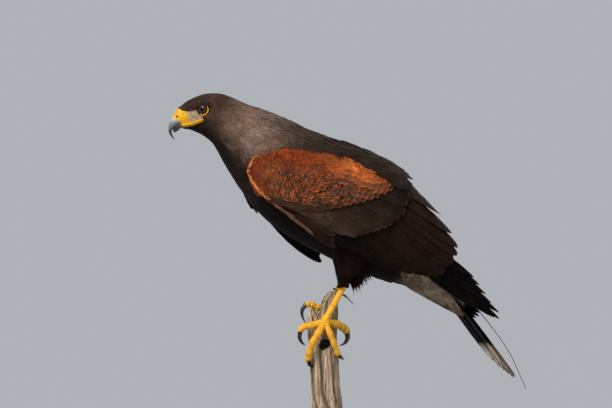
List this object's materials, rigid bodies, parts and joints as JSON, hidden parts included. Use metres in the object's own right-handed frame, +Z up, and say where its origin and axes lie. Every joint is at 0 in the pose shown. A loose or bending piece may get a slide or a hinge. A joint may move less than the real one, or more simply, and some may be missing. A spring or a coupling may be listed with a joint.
{
  "type": "perched harris hawk on a display stand",
  "caption": "Life-size hawk leaning forward on a weathered split snag, wings folded and tail hanging free, held up by a short rod on a round wooden base.",
  "frame": {"origin": "centre of the underside of the round base", "axes": "+Z up, the bird faces -X and its left side is -Y"},
  "size_m": [0.4379, 0.19, 0.4225],
  "materials": {
    "body_feather": "soft brown-black plumage",
    "wing_feather": "chestnut and dark brown plumage",
    "leg_feather": "dark chestnut plumage",
    "tail_feather": "black plumage with a white end band",
    "covert_feather": "soft white plumage",
    "scaled_skin": "satin scaled yellow skin",
    "horn": "smooth dark horn",
    "eye": "polished dark brown",
    "snag_wood": "bare weathered grain",
    "base_wood": "oiled",
    "rod_steel": "brushed",
    "tag_plastic": "matte",
    "tie_leather": "matte"
  },
  "bodies": {
    "root": {"bill_lower": "horn", "bill_upper": "horn", "cere": "scaled_skin", "claw_left_hind": "horn", "claw_left_inner": "horn", "claw_left_middle": "horn", "claw_left_outer": "horn", "claw_right_hind": "horn", "claw_right_inner": "horn", "claw_right_middle": "horn", "claw_right_outer": "horn", "eye_left": "eye", "eye_right": "eye", "head": "body_feather", "leg_tie": "tie_leather", "neck": "body_feather", "perch": "snag_wood", "stand_base": "base_wood", "stand_rod": "rod_steel", "tail": "tail_feather", "tail_antenna": "tag_plastic", "tail_coverts": "covert_feather", "tail_tag": "tag_plastic", "tarsus_left": "scaled_skin", "tarsus_right": "scaled_skin", "thigh_left": "leg_feather", "thigh_right": "leg_feather", "toes_left": "scaled_skin", "toes_right": "scaled_skin", "torso": "body_feather", "wing_left": "wing_feather", "wing_right": "wing_feather"}
  },
  "joints": []
}
